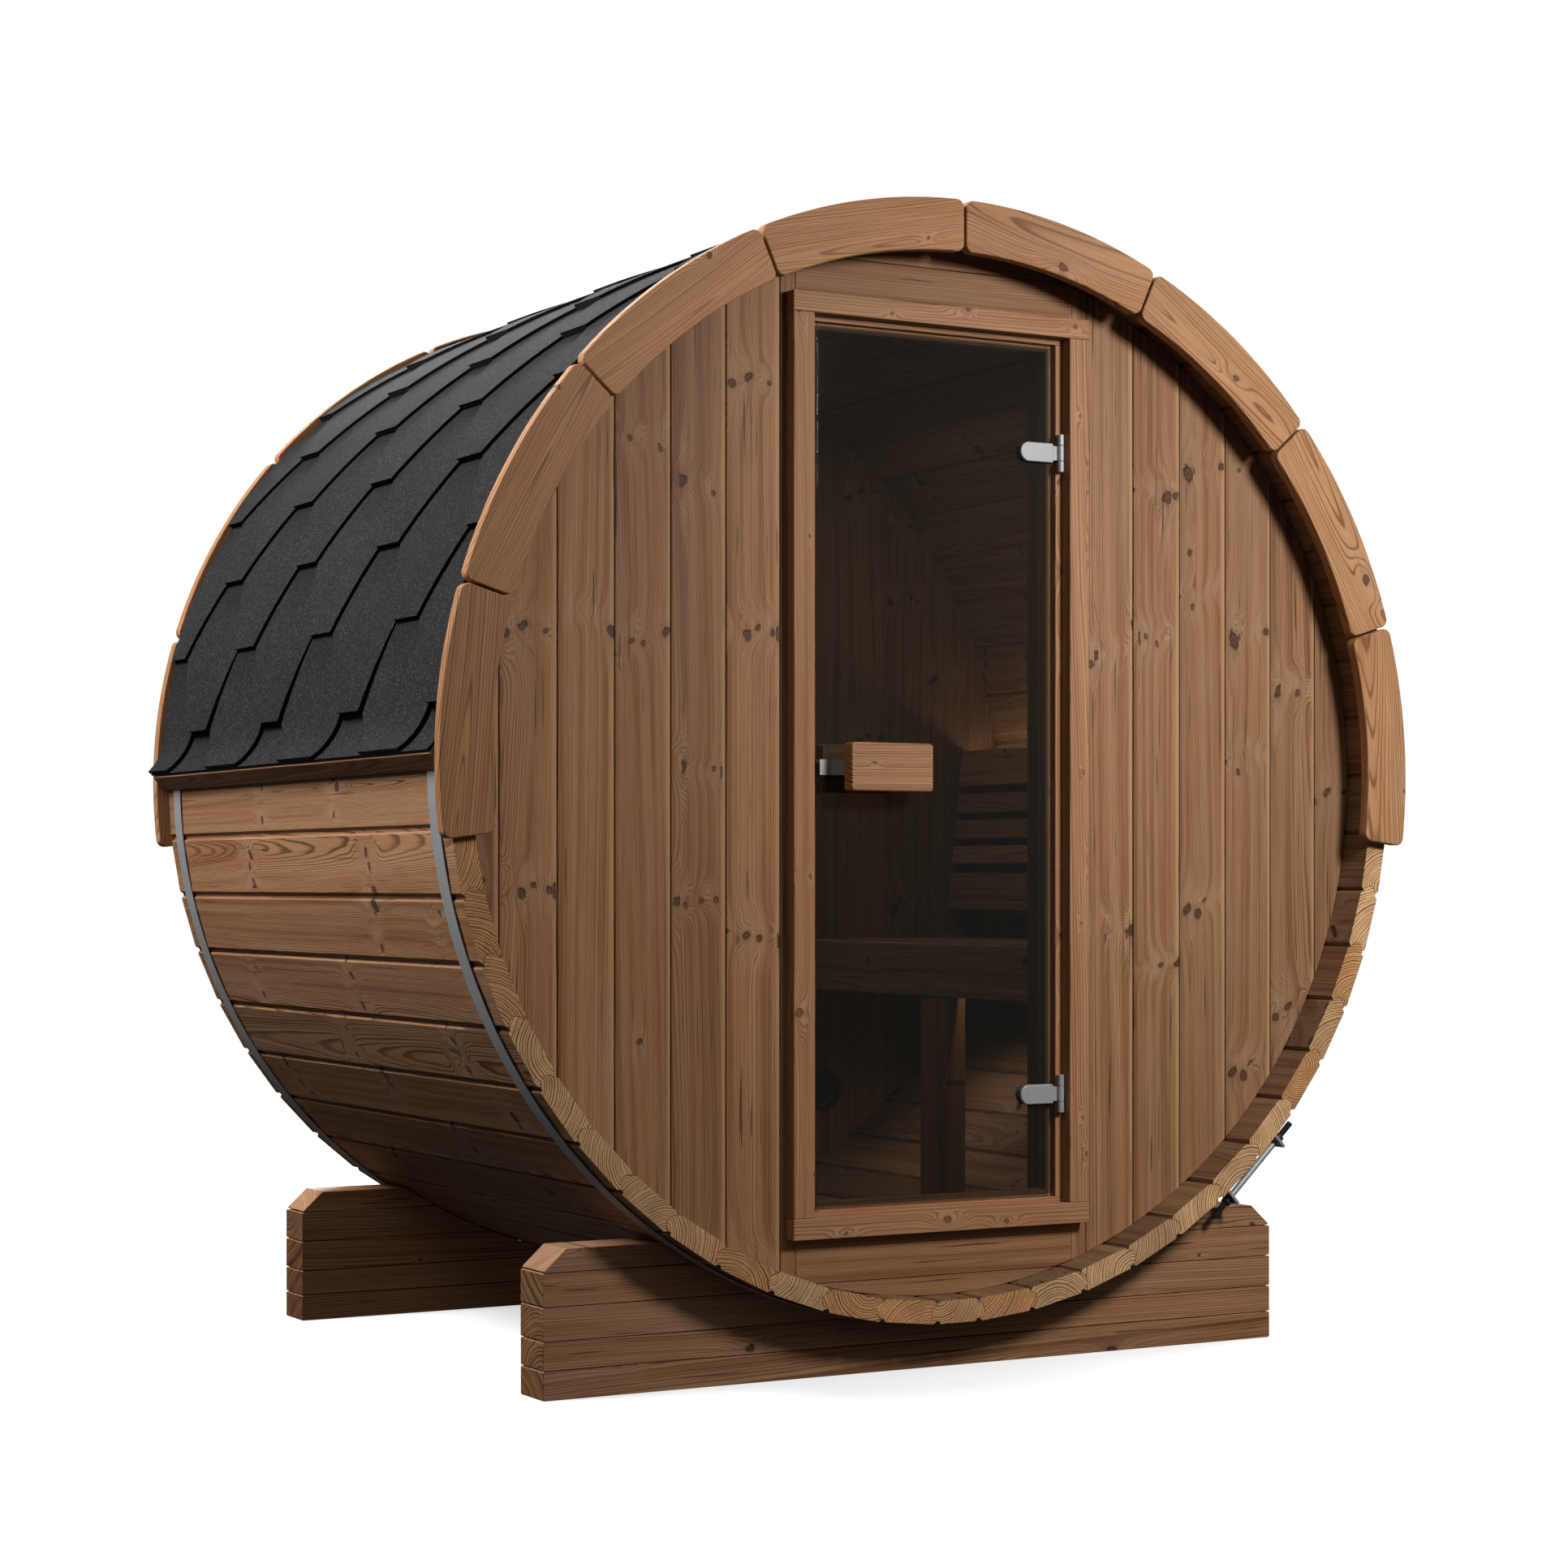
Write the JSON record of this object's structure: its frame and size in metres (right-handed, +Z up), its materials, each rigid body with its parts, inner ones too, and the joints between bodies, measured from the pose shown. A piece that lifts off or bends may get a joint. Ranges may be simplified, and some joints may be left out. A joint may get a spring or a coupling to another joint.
{
  "type": "barrel sauna",
  "caption": "Small wooden barrel sauna: bead-and-cove stave ring with steel hoops, board end walls, hinged glass door, shingle roof, arched end trim and stacked cradle feet.",
  "frame": {"origin": "on the ground, under the middle of the barrel", "axes": "+Z up, the door faces -Y, the barrel axis runs along Y, +X to the right of someone facing the door"},
  "size_m": [2.0838, 1.473, 2.1149],
  "materials": {
    "stave_wood": "oiled heat-treated softwood, knotty",
    "wall_wood": "oiled heat-treated softwood boards, knotty",
    "trim_wood": "lighter heat-treated softwood",
    "arch_wood": "lighter heat-treated softwood, rounded edges",
    "cradle_wood": "heat-treated softwood beams",
    "bench_wood": "heat-treated softwood, unfinished",
    "eave_wood": "dark stained softwood",
    "shingle": "granular bitumen shingle, charcoal",
    "hoop_steel": "galvanised band",
    "rod_steel": "black threaded rod and nuts",
    "hinge_steel": "satin",
    "glass": "bronze tinted, clear surface",
    "vent_plastic": "matt black",
    "led": "warm diffuser"
  },
  "bodies": {
    "cabin": {"staves_bottom": "stave_wood", "staves_lower_left": "stave_wood", "staves_lower_right": "stave_wood", "staves_upper_left": "stave_wood", "staves_upper_right": "stave_wood", "staves_top": "stave_wood", "front_wall_left": "wall_wood", "front_wall_right": "wall_wood", "door_posts": "wall_wood", "header_boards": "wall_wood", "sill_boards": "wall_wood", "door_jambs": "trim_wood", "door_jamb_head": "trim_wood", "door_threshold": "trim_wood", "trim_stiles": "trim_wood", "trim_rails": "trim_wood", "rear_wall": "wall_wood", "rear_vent": "vent_plastic", "front_arch": "arch_wood", "rear_arch": "arch_wood", "roof_left": "shingle", "roof_right": "shingle", "eave_battens": "eave_wood", "front_hoop": "hoop_steel", "rear_hoop": "hoop_steel", "tension_rods": "rod_steel", "front_cradle": "cradle_wood", "rear_cradle": "cradle_wood", "bench_seat": "bench_wood", "bench_apron": "bench_wood", "bench_frame": "bench_wood", "backrest_slats": "bench_wood", "backrest_battens": "bench_wood", "led_strips": "led", "hinge_frame_leaves": "hinge_steel"},
    "door": {"door_glass": "glass", "door_handle": "trim_wood", "handle_straps": "hinge_steel", "hinge_door_leaves": "hinge_steel"}
  },
  "joints": [
    {"name": "door_hinge", "type": "hinge", "parent": "cabin", "child": "door", "pos_m": [0.265, -0.6515, 1.091], "axis": [0, 0, 1], "range_deg": [0, 105]}
  ]
}
